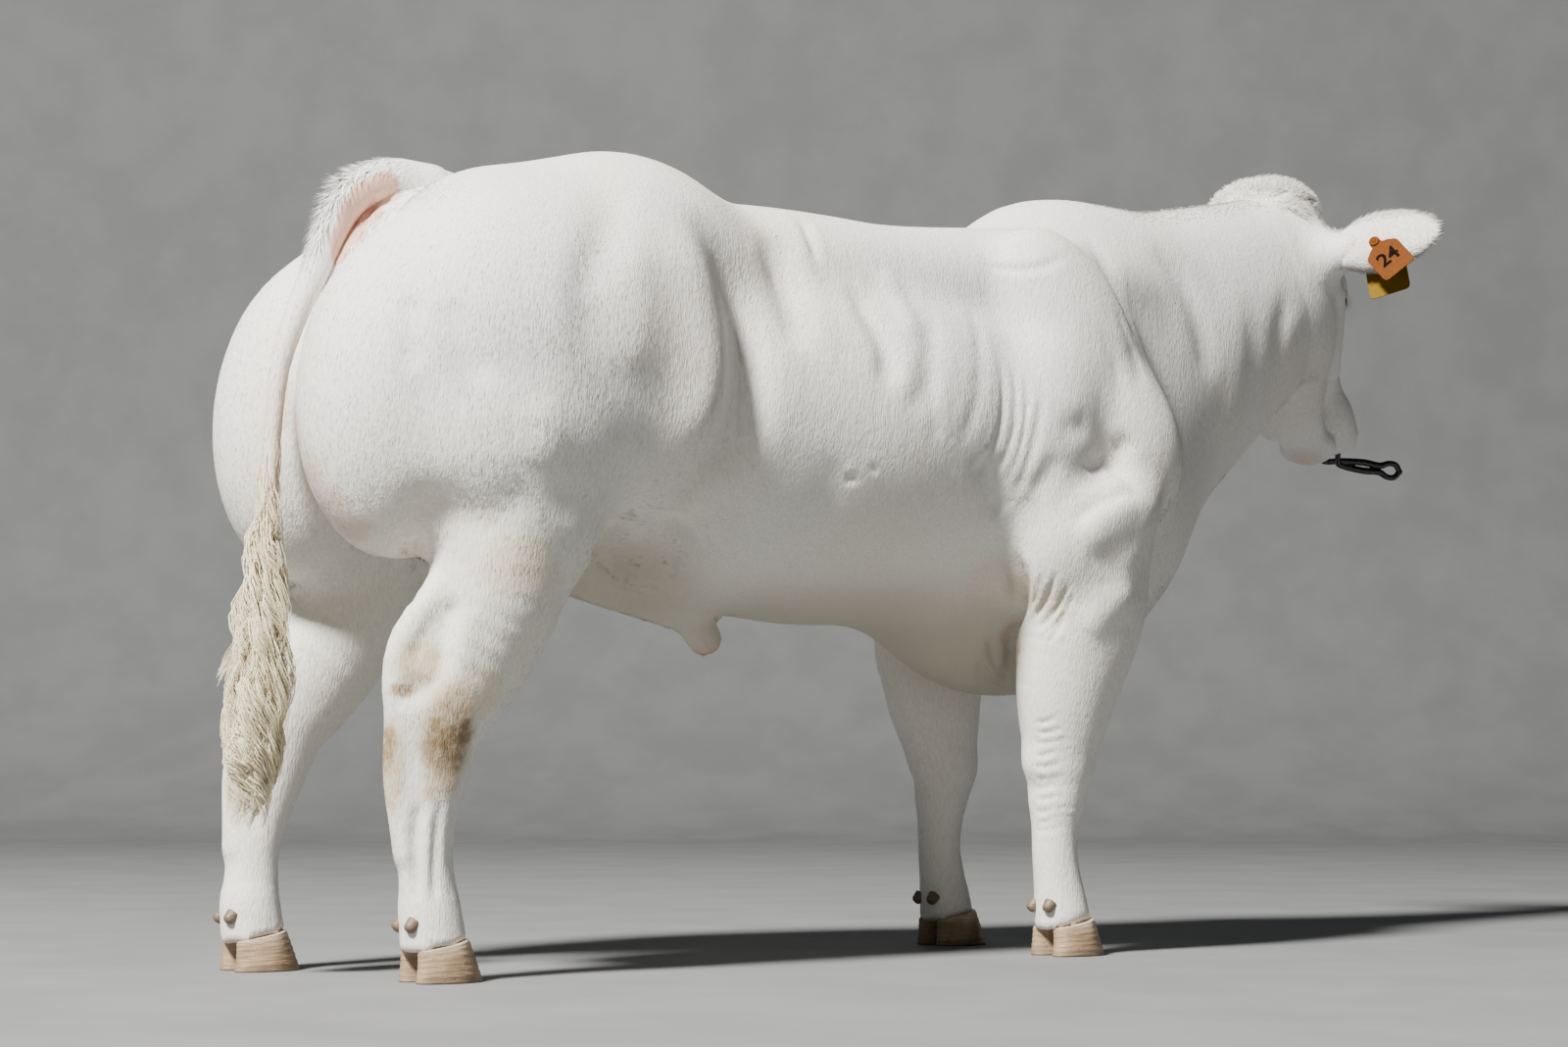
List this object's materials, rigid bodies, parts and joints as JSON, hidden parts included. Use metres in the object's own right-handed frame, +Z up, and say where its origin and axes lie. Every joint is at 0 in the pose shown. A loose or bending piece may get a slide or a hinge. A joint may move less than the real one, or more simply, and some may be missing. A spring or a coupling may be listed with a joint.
{
  "type": "standing belgian blue bull model",
  "caption": "Life-size still model of a double-muscled white beef bull, standing with its head turned a little to its left, with ear tags and a nose clamp.",
  "frame": {"origin": "middle of the model's bounding box on the floor", "axes": "+X the way the bull's body faces, +Y its left side, +Z up"},
  "size_m": [2.636, 0.8097, 1.5305],
  "materials": {
    "coat": "short white hair over pale skin",
    "switch_hair": "long wavy cream hair",
    "ear_skin": "thin skin with white hair",
    "eye": "wet, glossy",
    "horn": "worn hoof horn",
    "tag_orange": "moulded soft plastic",
    "tag_yellow": "moulded soft plastic",
    "clamp_black": "glossy black"
  },
  "bodies": {
    "root": {"torso": "coat", "neck": "coat", "head": "coat", "tail": "coat", "tail_switch": "switch_hair", "hindleg_right": "coat", "hindleg_left": "coat", "foreleg_right": "coat", "foreleg_left": "coat", "ear_left": "ear_skin", "ear_right": "ear_skin", "eye_left": "eye", "eye_right": "eye", "claw_hind_right_left": "horn", "claw_hind_right_right": "horn", "claw_hind_left_left": "horn", "claw_hind_left_right": "horn", "claw_fore_right_left": "horn", "claw_fore_right_right": "horn", "claw_fore_left_left": "horn", "claw_fore_left_right": "horn", "dewclaw_hind_right_left": "horn", "dewclaw_hind_right_right": "horn", "dewclaw_hind_left_left": "horn", "dewclaw_hind_left_right": "horn", "dewclaw_fore_right_left": "horn", "dewclaw_fore_right_right": "horn", "dewclaw_fore_left_left": "horn", "dewclaw_fore_left_right": "horn", "tag_back": "tag_orange", "tag_front": "tag_yellow", "tag_stud": "tag_orange", "nose_clamp": "clamp_black"}
  },
  "joints": []
}
